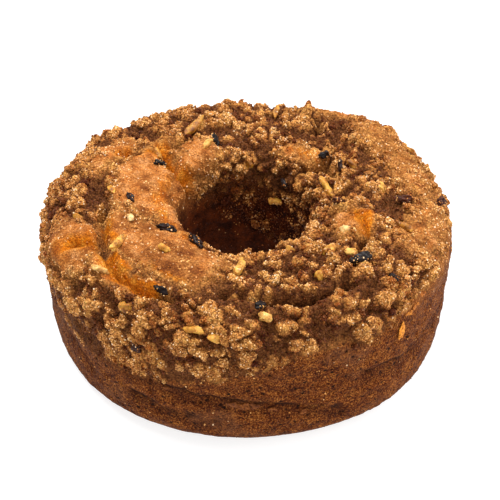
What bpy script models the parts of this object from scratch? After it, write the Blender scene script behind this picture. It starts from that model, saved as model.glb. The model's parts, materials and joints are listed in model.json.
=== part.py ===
"""A crumb coffee cake, baked as a ring in a tapered tube pan and standing on its base.

The cake, its craggy sugar crumbs and its small chopped nuts and raisins are one solid. The largest
walnut pieces and raisins are solids of their own, each seated in a pocket that is cut for it.
The ring stands on Z = 0 with its hole on the Z axis, and its best side faces -Y.
"""

import math
import random

import bmesh
import bpy
from mathutils import Matrix, Vector, noise
from mathutils.bvhtree import BVHTree

MM = 0.001

# The ring's outline, as a section through one side of it.
OUTER_RADIUS = 100 * MM
WIDEST_HEIGHT = 57 * MM
SHOULDER_WIDTH = 22 * MM
CROWN_HEIGHT = 77 * MM
CROWN_RISE = 1 * MM
SIDE_FOOT_RADIUS = 96.5 * MM
SIDE_FOOT_HEIGHT = 20 * MM
BASE_RADIUS = 86 * MM
HOLE_RADIUS = 34 * MM
HOLE_FOOT_RADIUS = 36 * MM
HOLE_FOOT_ROUNDING = 5 * MM
INNER_RIM_WIDTH = 10 * MM
INNER_RIM_DROP = 12 * MM
SEGMENTS = 240
SECTION_FINENESS = 3
RING_FACES = 7300

# Relief of the crust and of the crumb topping.
SWELL = 1.5 * MM
SWELL_LENGTH = 45 * MM
CLUMP_HEIGHT = 3.2 * MM
CLUMP_LENGTH = 15 * MM
NUGGET_HEIGHT = 1.8 * MM
NUGGET_LENGTH = 7.5 * MM
CREASE_DEPTH = 1.3 * MM
CREASE_WIDTH = 1.8 * MM
FISSURE_DEPTH = 5.5 * MM
FISSURE_WIDTH = 2.6 * MM
FISSURE_LIP = 1.3 * MM

# Pieces that lie in the surface: how far they stand out of it, and the gap round a loose one.
PROUD_SHARE = 0.12
POCKET_GAP = 0.45 * MM
CLEARANCE = 1.0 * MM

# Fissures where the crust has split, as (degrees round from +X, millimetres from the axis).
FISSURES = (
    ((188, 70), (195, 71), (203, 73), (209, 77), (215, 81), (226, 86), (237, 88), (247, 87)),
    ((209, 77), (208, 83), (205, 90)),
    ((152, 70), (147, 65), (140, 61), (141, 51), (144, 42), (144, 34)),
    ((140, 61), (133, 58), (124, 57)),
    ((340, 44), (344, 51), (338, 59), (331, 66), (318, 69)),
    ((46, 38), (40, 43), (39, 50), (25, 48)),
    ((262, 77), (271, 81), (279, 84), (287, 86), (296, 85), (304, 83)),
    ((75, 88), (62, 80), (58, 66)),
    ((100, 92), (112, 86), (121, 90)),
)

# Creases in the side, as (degrees round from +X, millimetres above the base).
CREASES = (
    ((216, 46), (230, 40), (243, 34), (259, 30), (274, 26), (284, 23), (297, 16)),
    ((236, 22), (248, 18), (262, 15)),
    ((303, 34), (318, 31), (334, 33), (350, 38)),
    ((194, 34), (208, 27), (220, 22)),
    ((20, 30), (40, 26), (60, 31), (85, 28)),
    ((100, 24), (125, 30), (150, 27)),
)

# How far down the side the crumbs spill, round the ring: (degrees, millimetres above the base).
SPILL_EDGE = (
    (0, 60), (20, 57), (45, 50), (75, 46), (105, 50), (135, 44), (165, 42), (190, 37), (204, 36),
    (212, 33), (223, 34), (236, 31), (250, 36), (262, 40), (271, 46), (288, 55), (307, 52),
    (317, 59), (335, 62), (360, 60),
)
HOLE_SPILL_EDGE = (
    (0, 38), (25, 26), (55, 22), (85, 31), (110, 44), (135, 55), (180, 64), (330, 62), (360, 38),
)

# Heaps and hollows in the topping: (degrees, distance from the axis, height, reach, rise).
MOUNDS = (
    (295, 91, 74, 11, 3.0),
    (311, 90, 74, 9, 1.5),
    (247, 95, 68, 10, 2.0),
    (269, 95, 71, 11, 2.0),
    (93, 37, 72, 10, 2.5),
    (154, 67, 79, 11, 1.8),
    (107, 84, 77, 13, 1.6),
    (291, 49, 77, 8, 2.2),
    (303, 56, 78, 9, 1.6),
    (200, 93, 71, 12, 1.5),
    (332, 98, 66, 6, 2.5),
    (31, 44, 76, 14, -4.0),
    (5, 43, 75, 10, -2.5),
    (41, 54, 78, 7, -2.0),
    (230, 98, 65, 8, -3.0),
    (256, 89, 74, 9, -2.5),
    (305, 95, 70, 7, -3.0),
    (265, 100, 55, 8, -1.2),
    (280, 99, 54, 7, -1.2),
    (188, 70, 78, 6, -2.5),
    (50, 90, 72, 20, 3.0),
    (25, 95, 68, 16, 2.0),
    (140, 92, 70, 20, 2.5),
    (42, 92, 71, 13, 3.0),
    (8, 99, 63, 9, 1.2),
    (267, 40, 73, 19, -5.0),
    (224, 85, 76, 7, -2.5),
    (236, 88, 75, 7, -2.5),
    (143, 47, 75, 8, -2.5),
    (208, 96, 16, 26, -2.5),
    (318, 96, 16, 26, 2.0),
)

# Crust that few crumbs lie on: (degrees, distance, half-length round, half-width, swell, bareness).
BARE_PATCHES = (
    (160, 52, 35, 12, 1.4, 1.0),
    (178, 46, 24, 8, 0.8, 1.0),
    (152, 75, 18, 9, 1.2, 0.75),
    (203, 89, 21, 11, 1.2, 1.0),
    (221, 84, 13, 8, 0.4, 0.95),
    (207, 66, 18, 12, 0.8, 0.95),
    (222, 62, 24, 15, 1.2, 1.0),
    (243, 66, 20, 13, 0.8, 0.85),
    (236, 51, 26, 8, 0.6, 1.0),
    (122, 42, 12, 10, 3.0, 0.9),
    (345, 88, 26, 11, 0.6, 0.6),
    (14, 84, 24, 11, 0.4, 0.6),
    (38, 84, 20, 10, 0.4, 0.5),
    (57, 93, 22, 7, 0.8, 0.9),
    (336, 56, 13, 11, 1.4, 0.9),
    (54, 48, 12, 7, 0.8, 0.6),
)

# Each piece: degrees round, distance from the axis, height, length, width, turn from outwards.
WALNUTS = {
    "walnut_back_left": (114, 65, 78, 15.0, 5.5, 120),
    "walnut_left": (216, 73, 78, 14.0, 5.0, 27),
    "walnut_right_of_hole": (16, 41, 75, 16.0, 5.0, 98),
    "walnut_front_of_hole": (267, 62, 78, 13.5, 5.2, 167),
    "walnut_back": (79, 78, 78, 10.0, 4.5, 170),
    "walnut_front_left": (221, 89, 75, 9.5, 4.5, 127),
    "walnut_front_edge": (256, 97, 67, 10.0, 4.5, 112),
    "walnut_far_left": (142, 56, 78, 9.0, 4.8, 169),
}
RAISINS = {
    "raisin_right_front": (313, 77, 78, 10.5, 6.0, 60),
    "raisin_hole_left": (216, 47, 77, 9.5, 5.0, 114),
    "raisin_hole_front": (236, 43, 76, 11.0, 4.5, 73),
    "raisin_front_left": (242, 86, 76, 8.5, 4.0, 94),
    "raisin_hole_right": (350, 45, 76, 10.5, 4.5, 78),
    "raisin_right": (357, 75, 78, 9.0, 4.5, 175),
}
SMALL_WALNUTS = (
    (202, 59, 78, 6.5, 4.0, 75),
    (177, 65, 78, 6.5, 3.5, 130),
    (191, 81, 78, 5.5, 3.5, 27),
    (115, 46, 77, 7.0, 4.0, 122),
    (232, 61, 78, 6.0, 4.0, 98),
    (29, 58, 78, 6.5, 4.5, 79),
    (4, 65, 78, 6.0, 5.0, 130),
    (31, 94, 71, 6.5, 4.0, 91),
    (324, 58, 78, 7.0, 5.0, 23),
    (309, 61, 78, 6.5, 4.5, 23),
    (294, 50, 77, 5.0, 4.5, 60),
    (315, 69, 78, 6.5, 4.5, 46),
    (340, 79, 78, 8.0, 4.0, 167),
    (235, 96, 69, 6.0, 5.0, 83),
    (261, 98, 64, 7.0, 5.5, 65),
    (296, 72, 78, 5.5, 5.0, 18),
    (275, 92, 73, 6.0, 5.0, 92),
    (66, 34, 52, 7.0, 4.5, 92),
    (90, 36, 71, 5.0, 4.5, 104),
)
SMALL_RAISINS = (
    (184, 56, 78, 5.0, 3.5, 118),
    (108, 52, 78, 6.5, 4.0, 19),
    (28, 52, 78, 5.5, 3.5, 39),
    (41, 52, 78, 5.0, 4.0, 172),
    (2, 95, 71, 5.0, 4.0, 63),
    (60, 34, 64, 5.5, 3.5, 90),
    (274, 85, 77, 6.0, 5.0, 137),
    (240, 99, 51, 4.5, 4.0, 90),
    (317, 92, 73, 4.5, 4.0, 166),
    (148, 50, 78, 6.0, 4.0, 30),
)

# Crumbs that stand out of the topping, the largest first: how many, and their radius.
CRUMB_SIZES = ((14, 4.8 * MM), (22, 3.8 * MM), (12, 3.0 * MM))
CRUMB_SPACING = 1.9
CRUMB_RISE = 0.05
CRUMB_TRIES = 6000
CRUMB_SEED = 11
# Without a seed of its own, noise_vector takes one from the clock.
NOISE_SEED = 5

CRUST_BROWN = (0.33, 0.115, 0.022)
WALNUT_CREAM = (0.62, 0.36, 0.12)
RAISIN_BLACK = (0.018, 0.012, 0.014)


def smoothstep(low, high, value):
    """Rises smoothly from 0 at low to 1 at high."""
    share = min(1.0, max(0.0, (value - low) / (high - low)))
    return share * share * (3 - 2 * share)


def around(degrees, radius, height):
    """The point at this angle from +X, distance from the axis and height."""
    angle = math.radians(degrees)
    return Vector((radius * math.cos(angle), radius * math.sin(angle), height))


FISSURE_ROUTES = [[around(turn, radius * MM, 0).to_2d() for turn, radius in route] for route in FISSURES]
CREASE_ROUTES = [
    [Vector((math.radians(turn) * OUTER_RADIUS, rise * MM)) for turn, rise in route] for route in CREASES
]


def arc(centre, radii, start, end, steps):
    """Points on an elliptical arc from start to end degrees, without its first point."""
    points = []
    for step in range(1, steps + 1):
        angle = math.radians(start + (end - start) * step / steps)
        points.append((centre[0] + radii[0] * math.cos(angle), centre[1] + radii[1] * math.sin(angle)))
    return points


def line(start, end, steps):
    """Evenly spaced points from start to end, without the first one."""
    shares = [step / steps for step in range(1, steps + 1)]
    return [tuple(a + (b - a) * share for a, b in zip(start, end)) for share in shares]


def ring_section(fineness):
    """The closed section as (radius, height): crown, shoulder, side, base, hole and inner rim."""
    inner = (HOLE_RADIUS + INNER_RIM_WIDTH, CROWN_HEIGHT)
    outer = (OUTER_RADIUS - SHOULDER_WIDTH, CROWN_HEIGHT)
    half = (outer[0] - inner[0]) / 2
    crown = [inner] + line(inner, outer, 8 * fineness)
    points = []
    for radius, height in crown:
        off_centre = (radius - inner[0] - half) / half
        points.append((radius, height + CROWN_RISE * (1 - off_centre**2)))
    shoulder_drop = CROWN_HEIGHT - WIDEST_HEIGHT
    points += arc((outer[0], WIDEST_HEIGHT), (SHOULDER_WIDTH, shoulder_drop), 90, 0, 7 * fineness)
    points += line(points[-1], (SIDE_FOOT_RADIUS, SIDE_FOOT_HEIGHT), 6 * fineness)
    corner = (SIDE_FOOT_RADIUS - BASE_RADIUS, SIDE_FOOT_HEIGHT)
    points += arc((BASE_RADIUS, SIDE_FOOT_HEIGHT), corner, 0, -90, 4 * fineness)
    foot = HOLE_FOOT_RADIUS + HOLE_FOOT_ROUNDING
    points += line(points[-1], (foot, 0), 2)
    rounding = (HOLE_FOOT_ROUNDING, HOLE_FOOT_ROUNDING)
    points += arc((foot, HOLE_FOOT_ROUNDING), rounding, -90, -180, 2 * fineness)
    rim_height = CROWN_HEIGHT - INNER_RIM_DROP
    points += line(points[-1], (HOLE_RADIUS, rim_height), 5 * fineness)
    rim = arc((inner[0], rim_height), (INNER_RIM_WIDTH, INNER_RIM_DROP), 180, 90, 4 * fineness)
    return points + rim[:-1]


def route_distance(point, routes):
    """Distance from a point of a plane to the nearest of the routes drawn in it."""
    nearest = 1.0
    for corners in routes:
        for start, end in zip(corners, corners[1:]):
            along = end - start
            share = min(1.0, max(0.0, (point - start).dot(along) / along.length_squared))
            nearest = min(nearest, (point - start - along * share).length)
    return nearest


def wandered(point):
    """The point moved a little at random, which makes a straight route wander."""
    return point + noise.noise_vector(point / (9 * MM)) * 1.6 * MM


def fissure_distance(point):
    """Distance in plan to the nearest fissure, on a route that wanders a little."""
    return route_distance(wandered(point).to_2d(), FISSURE_ROUTES)


def crease_distance(point):
    """Distance over the unrolled side to the nearest crease, on a route that wanders a little."""
    moved = wandered(point)
    turn = math.atan2(moved.y, moved.x) % math.tau
    return route_distance(Vector((turn * OUTER_RADIUS, moved.z)), CREASE_ROUTES)


def patch_share(point, patch):
    """From 0 outside a bare patch to 1 in its middle, with an edge that wanders."""
    degrees, distance, half_round, half_across, *_ = patch
    middle = around(degrees, distance * MM, 0)
    outward = middle.normalized()
    level = Vector((point.x, point.y, 0))
    wander = 3.5 * MM * noise.noise_vector(level / (14 * MM)) + 1.5 * MM * noise.noise_vector(level / (5 * MM))
    off = level + wander - middle
    across = off.dot(outward) / (half_across * MM)
    round_ring = off.cross(outward).z / (half_round * MM)
    return 1 - smoothstep(0.55, 1.25, math.hypot(across, round_ring))


def round_the_ring(table, degrees):
    """The value at this angle, between the table's entries on either side of it."""
    for (start, low), (end, high) in zip(table, table[1:]):
        if degrees <= end:
            return low + (high - low) * (degrees - start) / (end - start)
    return table[-1][1]


def crumb_cover(point):
    """How thickly crumbs lie here, from 0 on bare crust to 1: over the top and some way down."""
    degrees = math.degrees(math.atan2(point.y, point.x)) % 360
    outside = math.hypot(point.x, point.y) > (HOLE_RADIUS + OUTER_RADIUS) / 2
    edge = round_the_ring(SPILL_EDGE if outside else HOLE_SPILL_EDGE, degrees) * MM
    edge += 4 * MM * noise.noise(Vector((point.x, point.y, 0)) / (12 * MM))
    on_top = smoothstep(edge - 3 * MM, edge + 5 * MM, point.z)
    bare = max(patch_share(point, patch) * patch[5] for patch in BARE_PATCHES)
    return on_top * (1 - bare)


def clump(point):
    """Rounded heaps of crumbs with dents between them, from about -0.5 to 0.5."""
    distances, _ = noise.voronoi(point / CLUMP_LENGTH)
    return (distances[1] - distances[0]) - 0.35 + 0.4 * noise.noise(point / (9 * MM))


def nugget(point):
    """Single nuggets of crumb, side by side: 1 in the middle of each and 0 between them."""
    distances, _ = noise.voronoi(point / NUGGET_LENGTH)
    return 1 - smoothstep(0.1, 0.75, distances[0])


def mound(point):
    """The heaps and hollows that are placed one by one, in metres."""
    rise = 0.0
    for degrees, distance, height, reach, peak in MOUNDS:
        off = (point - around(degrees, distance * MM, height * MM)).length / (reach * MM)
        rise += peak * MM * math.exp(-(off**2))
    return rise


def relief(point):
    """How far the surface stands out of the plain ring here, in metres."""
    over_base = smoothstep(0, 10 * MM, point.z)
    upper = smoothstep(55 * MM, 70 * MM, point.z)
    height = SWELL * noise.noise(point / SWELL_LENGTH)
    crumbs = CLUMP_HEIGHT * clump(point) + NUGGET_HEIGHT * nugget(point)
    # The crumbs thin out down the side, where few of them hold.
    thickness = 0.35 + 0.65 * smoothstep(38 * MM, 68 * MM, point.z)
    height += mound(point) + crumbs * crumb_cover(point) * thickness
    for patch in BARE_PATCHES:
        height += patch[4] * MM * patch_share(point, patch) * upper
    if upper > 0:
        split = fissure_distance(point) / FISSURE_WIDTH
        depth = FISSURE_DEPTH * (0.85 + 0.9 * noise.noise(point / (14 * MM)))
        height -= depth * math.exp(-(split**2)) * upper
        height += FISSURE_LIP * math.exp(-((split - 2.2) ** 2)) * upper
    if math.hypot(point.x, point.y) > BASE_RADIUS:
        crease = crease_distance(point) / CREASE_WIDTH
        height -= CREASE_DEPTH * math.exp(-(crease**2)) * (1 - upper)
    return height * over_base


def material(name, colour, roughness):
    """A Principled material of one colour."""
    made = bpy.data.materials.new(name)
    made.use_nodes = True
    shader = made.node_tree.nodes["Principled BSDF"]
    shader.inputs["Base Color"].default_value = (*colour, 1)
    shader.inputs["Roughness"].default_value = roughness
    shader.inputs["Metallic"].default_value = 0
    return made


def collection(name):
    made = bpy.data.collections.new(name)
    bpy.context.scene.collection.children.link(made)
    return made


def add_object(name, mesh, home, finish):
    """Puts a mesh in the scene as a named object, in this collection and with this material."""
    made = bpy.data.objects.new(name, mesh)
    home.objects.link(made)
    mesh.materials.append(finish)
    return made


def apply_modifiers(made):
    """Turns the object's mesh into what its modifiers make of it."""
    graph = bpy.context.evaluated_depsgraph_get()
    finished = bpy.data.meshes.new_from_object(made.evaluated_get(graph))
    made.modifiers.clear()
    made.data = finished


def turned_ring(home, finish):
    """The plain ring, turned from its section, with the relief of its crust worked in."""
    section = ring_section(SECTION_FINENESS)
    mesh = bpy.data.meshes.new("section")
    corners = [(radius, 0, height) for radius, height in section]
    sides = [(index, (index + 1) % len(section)) for index in range(len(section))]
    mesh.from_pydata(corners, sides, [])
    ring = add_object("cake", mesh, home, finish)
    turn = ring.modifiers.new("turn", "SCREW")
    turn.axis = "Z"
    turn.steps = SEGMENTS
    turn.render_steps = SEGMENTS
    turn.use_merge_vertices = True
    turn.merge_threshold = 0.05 * MM
    apply_modifiers(ring)
    outward = [vertex.normal.copy() for vertex in ring.data.vertices]
    for vertex, normal in zip(ring.data.vertices, outward):
        vertex.co += normal * relief(vertex.co)
    # The crags keep most of the faces, and the smooth side and base get few.
    thin = ring.modifiers.new("thin", "DECIMATE")
    thin.ratio = RING_FACES / (2 * len(ring.data.polygons))
    apply_modifiers(ring)
    return ring


def seat(surface, point, turn):
    """A frame on the surface nearest a point: its Z outwards and its X at this turn from outwards."""
    place, normal, _, _ = surface.find_nearest(point)
    outward = Vector((point.x, point.y, 0)).normalized()
    heading = Matrix.Rotation(math.radians(turn), 3, "Z") @ outward
    across = normal.cross(heading).normalized()
    axes = Matrix((across.cross(normal), across, normal)).transposed()
    return Matrix.Translation(place) @ axes.to_4x4()


def chunk_mesh(name, size, corners, seed, grow=0.0):
    """A chopped piece: the hull of points spread evenly on an ellipsoid and shaken by a seeded draw."""
    draw = random.Random(seed)
    work = bmesh.new()
    for index in range(corners):
        rise = 1 - 2 * (index + 0.5) / corners
        spread = math.sqrt(1 - rise * rise)
        angle = index * math.pi * (3 - math.sqrt(5)) + draw.uniform(-0.3, 0.3)
        direction = Vector((spread * math.cos(angle), spread * math.sin(angle), rise))
        reach = draw.uniform(0.82, 1.0)
        work.verts.new([d * half * reach for d, half in zip(direction, size)])
    hull = bmesh.ops.convex_hull(work, input=work.verts[:])
    bmesh.ops.delete(work, geom=hull["geom_interior"], context="VERTS")
    bmesh.ops.recalc_face_normals(work, faces=work.faces[:])
    work.normal_update()
    pushed = [(vertex, vertex.normal * grow) for vertex in work.verts]
    for vertex, push in pushed:
        vertex.co += push
    mesh = bpy.data.meshes.new(name)
    work.to_mesh(mesh)
    work.free()
    return mesh


def add_piece(name, spec, surface, home, finish, corners, seed, grow=0.0):
    """One nut or raisin, lying in the surface where its numbers say."""
    degrees, distance, height, length, width, turn = spec
    frame = seat(surface, around(degrees, distance * MM, height * MM), turn)
    half = (length * MM / 2, width * MM / 2, width * MM * 0.42)
    piece = add_object(name, chunk_mesh(name, half, corners, seed, grow), home, finish)
    piece.matrix_world = frame @ Matrix.Translation((0, 0, PROUD_SHARE * width * MM))
    return piece


def crumb_points(surface, keep_clear):
    """Places for the crumbs: on the topping, apart from each other and clear of the loose pieces."""
    draw = random.Random(CRUMB_SEED)
    outline = [point for point in ring_section(1) if point[1] > SIDE_FOOT_HEIGHT]
    taken = []
    for count, radius in CRUMB_SIZES:
        found = 0
        for _ in range(CRUMB_TRIES):
            if found == count:
                break
            distance, height = draw.choice(outline)
            # A ring near the axis is shorter, so it gets fewer of the tries.
            if draw.random() * OUTER_RADIUS > distance:
                continue
            nominal = around(draw.uniform(0, 360), distance, height)
            place, normal, _, _ = surface.find_nearest(nominal)
            size = radius * draw.uniform(0.8, 1.15)
            if crumb_cover(place) < 0.55 or fissure_distance(place) < FISSURE_WIDTH + size / 2:
                continue
            if any((place - other).length < CRUMB_SPACING * (size + room) / 2 for other, room in taken):
                continue
            if any((place - other).length < size + room + CLEARANCE for other, room in keep_clear):
                continue
            taken.append((place, size))
            found += 1
    return [(place, surface.find_nearest(place)[1], size) for place, size in taken]


def add_crumbs(surface, home, finish, keep_clear):
    """Loose nuggets of sugar crumb, each a rough lump sunk a third of the way into the topping."""
    for index, (place, normal, size) in enumerate(crumb_points(surface, keep_clear)):
        mesh = chunk_mesh("crumb", (size, size * 0.85, size * 0.8), 11, CRUMB_SEED + index)
        crumb = add_object(f"crumb_{index}", mesh, home, finish)
        turn = normal.to_track_quat("Z", "Y").to_matrix().to_4x4()
        crumb.matrix_world = Matrix.Translation(place + normal * size * CRUMB_RISE) @ turn


def combine(target, others, operation):
    """Joins a whole collection to the target, or cuts it out, and removes that collection's objects."""
    step = target.modifiers.new(operation.lower(), "BOOLEAN")
    step.operation = operation
    step.solver = "MANIFOLD"
    step.operand_type = "COLLECTION"
    step.collection = others
    apply_modifiers(target)
    for other in list(others.objects):
        bpy.data.objects.remove(other)
    bpy.data.collections.remove(others)


def level_base(mesh):
    """Keeps the base flat: its corners stand exactly on Z = 0."""
    for vertex in mesh.vertices:
        if vertex.co.z < 0.1 * MM:
            vertex.co.z = 0


def clear_scene():
    for leftover in list(bpy.data.objects):
        bpy.data.objects.remove(leftover)


def build():
    clear_scene()
    noise.seed_set(NOISE_SEED)
    crust = material("baked_crust", CRUST_BROWN, 0.75)
    walnut = material("walnut", WALNUT_CREAM, 0.5)
    raisin = material("raisin", RAISIN_BLACK, 0.3)
    home = collection("crumb_coffee_cake")
    fused = collection("fused_pieces")
    pockets = collection("pockets")
    cake = turned_ring(home, crust)
    surface = BVHTree.FromObject(cake, bpy.context.evaluated_depsgraph_get())

    loose = [(name, spec, walnut, 18) for name, spec in WALNUTS.items()]
    loose += [(name, spec, raisin, 22) for name, spec in RAISINS.items()]
    keep_clear = []
    for seed, (name, spec, finish, corners) in enumerate(loose):
        piece = add_piece(name, spec, surface, home, finish, corners, seed)
        add_piece(name + "_pocket", spec, surface, pockets, crust, corners, seed, POCKET_GAP)
        keep_clear.append((piece.matrix_world.translation, spec[3] * MM / 2))

    small = [("small_walnut", spec, 12) for spec in SMALL_WALNUTS]
    small += [("small_raisin", spec, 12) for spec in SMALL_RAISINS]
    for seed, (name, spec, corners) in enumerate(small):
        add_piece(f"{name}_{seed}", spec, surface, fused, crust, corners, 100 + seed)
    add_crumbs(surface, fused, crust, keep_clear)

    bpy.context.view_layer.update()
    combine(cake, fused, "UNION")
    combine(cake, pockets, "DIFFERENCE")
    level_base(cake.data)


build()
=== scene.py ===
"""The look of a crumb coffee cake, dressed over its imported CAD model.

The ring of baked cake gets its fine crust, its splits and its brown sugar crumbs as real shapes,
and its walnut pieces and raisins are worked up from the plain solids that stand for them.
Lengths are metres, the hole is on the Z axis and the camera looks at the side that faces -Y.
"""

import json
import math

import bpy
import numpy as np
from mathutils import Matrix, Vector, noise
from mathutils.bvhtree import BVHTree

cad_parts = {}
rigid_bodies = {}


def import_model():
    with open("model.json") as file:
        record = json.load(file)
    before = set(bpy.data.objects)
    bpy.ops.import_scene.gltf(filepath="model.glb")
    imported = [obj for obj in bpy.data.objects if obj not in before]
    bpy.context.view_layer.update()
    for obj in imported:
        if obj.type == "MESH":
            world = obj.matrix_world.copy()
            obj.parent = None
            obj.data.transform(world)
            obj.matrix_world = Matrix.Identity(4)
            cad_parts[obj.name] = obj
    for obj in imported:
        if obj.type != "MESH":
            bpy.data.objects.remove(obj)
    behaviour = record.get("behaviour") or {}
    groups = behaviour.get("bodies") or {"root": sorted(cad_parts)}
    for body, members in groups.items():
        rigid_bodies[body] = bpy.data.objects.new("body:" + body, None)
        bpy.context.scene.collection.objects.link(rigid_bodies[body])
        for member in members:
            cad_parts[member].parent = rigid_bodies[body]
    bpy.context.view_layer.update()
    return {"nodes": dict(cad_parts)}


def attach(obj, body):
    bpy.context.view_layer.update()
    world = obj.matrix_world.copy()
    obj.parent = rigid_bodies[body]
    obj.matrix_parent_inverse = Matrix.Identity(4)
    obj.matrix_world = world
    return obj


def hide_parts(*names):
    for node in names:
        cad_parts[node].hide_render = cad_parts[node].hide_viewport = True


MM = 0.001

# The ring's outline and its large relief, as in the CAD model.
OUTER_RADIUS = 100 * MM
WIDEST_HEIGHT = 57 * MM
SHOULDER_WIDTH = 22 * MM
CROWN_HEIGHT = 77 * MM
CROWN_RISE = 1 * MM
SIDE_FOOT_RADIUS = 96.5 * MM
SIDE_FOOT_HEIGHT = 20 * MM
BASE_RADIUS = 86 * MM
HOLE_RADIUS = 34 * MM
HOLE_FOOT_RADIUS = 36 * MM
HOLE_FOOT_ROUNDING = 5 * MM
INNER_RIM_WIDTH = 10 * MM
INNER_RIM_DROP = 12 * MM

SWELL = 1.5 * MM
SWELL_LENGTH = 45 * MM
CLUMP_HEIGHT = 3.2 * MM
CLUMP_LENGTH = 15 * MM
NUGGET_HEIGHT = 1.8 * MM
NUGGET_LENGTH = 7.5 * MM
CREASE_DEPTH = 1.3 * MM
CREASE_WIDTH = 1.8 * MM
TORN_DROP = 3.2 * MM
FISSURE_DEPTH = 5.5 * MM
FISSURE_WIDTH = 2.6 * MM
FISSURE_LIP = 1.3 * MM
# Without a seed of its own, the vector noise takes one from the clock.
NOISE_SEED = 5

# The finer relief that the CAD model leaves out.
HEAP_LENGTH = 8.5 * MM
CREVICE_DEPTH = 2.3 * MM
RECESS_DEPTH = 1.9 * MM
LUMP_HEIGHT = 1.6 * MM
LUMP_LENGTH = 3.2 * MM
GRIT_LENGTH = 1.4 * MM
PIT_DEPTH = 0.9 * MM
PIT_LENGTH = 5 * MM
CRACK_DEPTH = 2.2 * MM
TORN_DEPTH = 1.1 * MM

# Faces of the fine ring: round it, and across each part of its section.
SEGMENTS = 560
SECTION_STEPS = {
    "crown": 46, "shoulder": 34, "side": 30, "corner": 12, "base": 4, "foot": 4, "wall": 32, "rim": 14,
}

# Crumbs and grains: how many to a square metre where they lie thickest, their radii, and the seeds.
NUGGETS = {"density": 60000, "sizes": (1.0 * MM, 2.7 * MM), "seed": 5, "spacing": 4 * MM}
BITS = {"density": 160000, "sizes": (0.5 * MM, 1.3 * MM), "seed": 50}
GRAINS = {"density": 270000, "sizes": (0.28 * MM, 0.6 * MM)}
# The grains are four pieces of one density, each with a seed of its own.
GRAIN_SEEDS = (20, 30, 40, 50)
SHAPES_PER_KIND = 4

# Routes of the splits in the top, as degrees round and millimetres from the axis.
FISSURES = (
    ((188, 70), (195, 71), (203, 73), (209, 77), (215, 81), (226, 86), (237, 88), (247, 87)),
    ((209, 77), (208, 83), (205, 90)),
    ((152, 70), (147, 65), (140, 61), (141, 51), (144, 42), (144, 34)),
    ((140, 61), (133, 58), (124, 57)),
    ((340, 44), (344, 51), (338, 59), (331, 66), (318, 69)),
    ((46, 38), (40, 43), (39, 50), (25, 48)),
    ((262, 77), (271, 81), (279, 84), (287, 86), (296, 85), (304, 83)),
    ((75, 88), (62, 80), (58, 66)),
    ((100, 92), (112, 86), (121, 90)),
)
# Routes of the creases in the side, as degrees round and millimetres up.
CREASES = (
    ((216, 46), (230, 40), (243, 34), (259, 30), (274, 26), (284, 23), (297, 16)),
    ((236, 22), (248, 18), (262, 15)),
    ((303, 34), (318, 31), (334, 33), (350, 38)),
    ((194, 34), (208, 27), (220, 22)),
    ((20, 30), (40, 26), (60, 31), (85, 28)),
    ((100, 24), (125, 30), (150, 27)),
)
# How far down the side and the hole the crumbs reach: degrees round and millimetres up.
SPILL_EDGE = (
    (0, 60), (20, 57), (45, 50), (75, 46), (105, 50), (135, 44), (165, 42), (190, 37), (204, 36),
    (212, 33), (223, 34), (236, 31), (250, 36), (262, 40), (271, 46), (288, 55), (307, 52),
    (317, 59), (335, 62), (360, 60),
)
HOLE_SPILL_EDGE = (
    (0, 38), (25, 26), (55, 22), (85, 31), (110, 44), (135, 55), (180, 64), (330, 62), (360, 38),
)
# Heaps and hollows: degrees round, distance, height, reach and rise.
MOUNDS = (
    (295, 91, 74, 11, 3.0),
    (311, 90, 74, 9, 1.5),
    (247, 95, 68, 10, 2.0),
    (269, 95, 71, 11, 2.0),
    (93, 37, 72, 10, 2.5),
    (154, 67, 79, 11, 1.8),
    (107, 84, 77, 13, 1.6),
    (291, 49, 77, 8, 2.2),
    (303, 56, 78, 9, 1.6),
    (200, 93, 71, 12, 1.5),
    (332, 98, 66, 6, 2.5),
    (31, 44, 76, 14, -4.0),
    (5, 43, 75, 10, -2.5),
    (41, 54, 78, 7, -2.0),
    (230, 98, 65, 8, -3.0),
    (256, 89, 74, 9, -2.5),
    (305, 95, 70, 7, -3.0),
    (265, 100, 55, 8, -1.2),
    (280, 99, 54, 7, -1.2),
    (188, 70, 78, 6, -2.5),
    (50, 90, 72, 20, 3.0),
    (25, 95, 68, 16, 2.0),
    (140, 92, 70, 20, 2.5),
    (42, 92, 71, 13, 3.0),
    (8, 99, 63, 9, 1.2),
    (267, 40, 73, 19, -5.0),
    (224, 85, 76, 7, -2.5),
    (236, 88, 75, 7, -2.5),
    (143, 47, 75, 8, -2.5),
    (208, 96, 16, 26, -2.5),
    (318, 96, 16, 26, 2.0),
)
# Crust that few crumbs lie on: degrees, distance, half-length round, half-width, swelling, bareness.
BARE_PATCHES = (
    (160, 52, 35, 12, 1.4, 1.0),
    (178, 46, 24, 8, 0.8, 1.0),
    (152, 75, 18, 9, 1.2, 0.75),
    (203, 89, 21, 11, 1.2, 1.0),
    (221, 84, 13, 8, 0.4, 0.95),
    (207, 66, 18, 12, 0.8, 0.95),
    (222, 62, 24, 15, 1.2, 1.0),
    (243, 66, 20, 13, 0.8, 0.85),
    (236, 51, 26, 8, 0.6, 1.0),
    (122, 42, 12, 10, 3.0, 0.9),
    (345, 88, 26, 11, 0.6, 0.6),
    (14, 84, 24, 11, 0.4, 0.6),
    (38, 84, 20, 10, 0.4, 0.5),
    (57, 93, 22, 7, 0.8, 0.9),
    (336, 56, 13, 11, 1.4, 0.9),
    (54, 48, 12, 7, 0.8, 0.6),
)
# Crust with no crumbs on it, over the same relief: degrees, distance, half-length, half-width.
SWEPT_PATCHES = (
    (160, 36, 26, 9),
    (198, 36, 26, 9),
    (235, 85, 13, 5),
)
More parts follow.
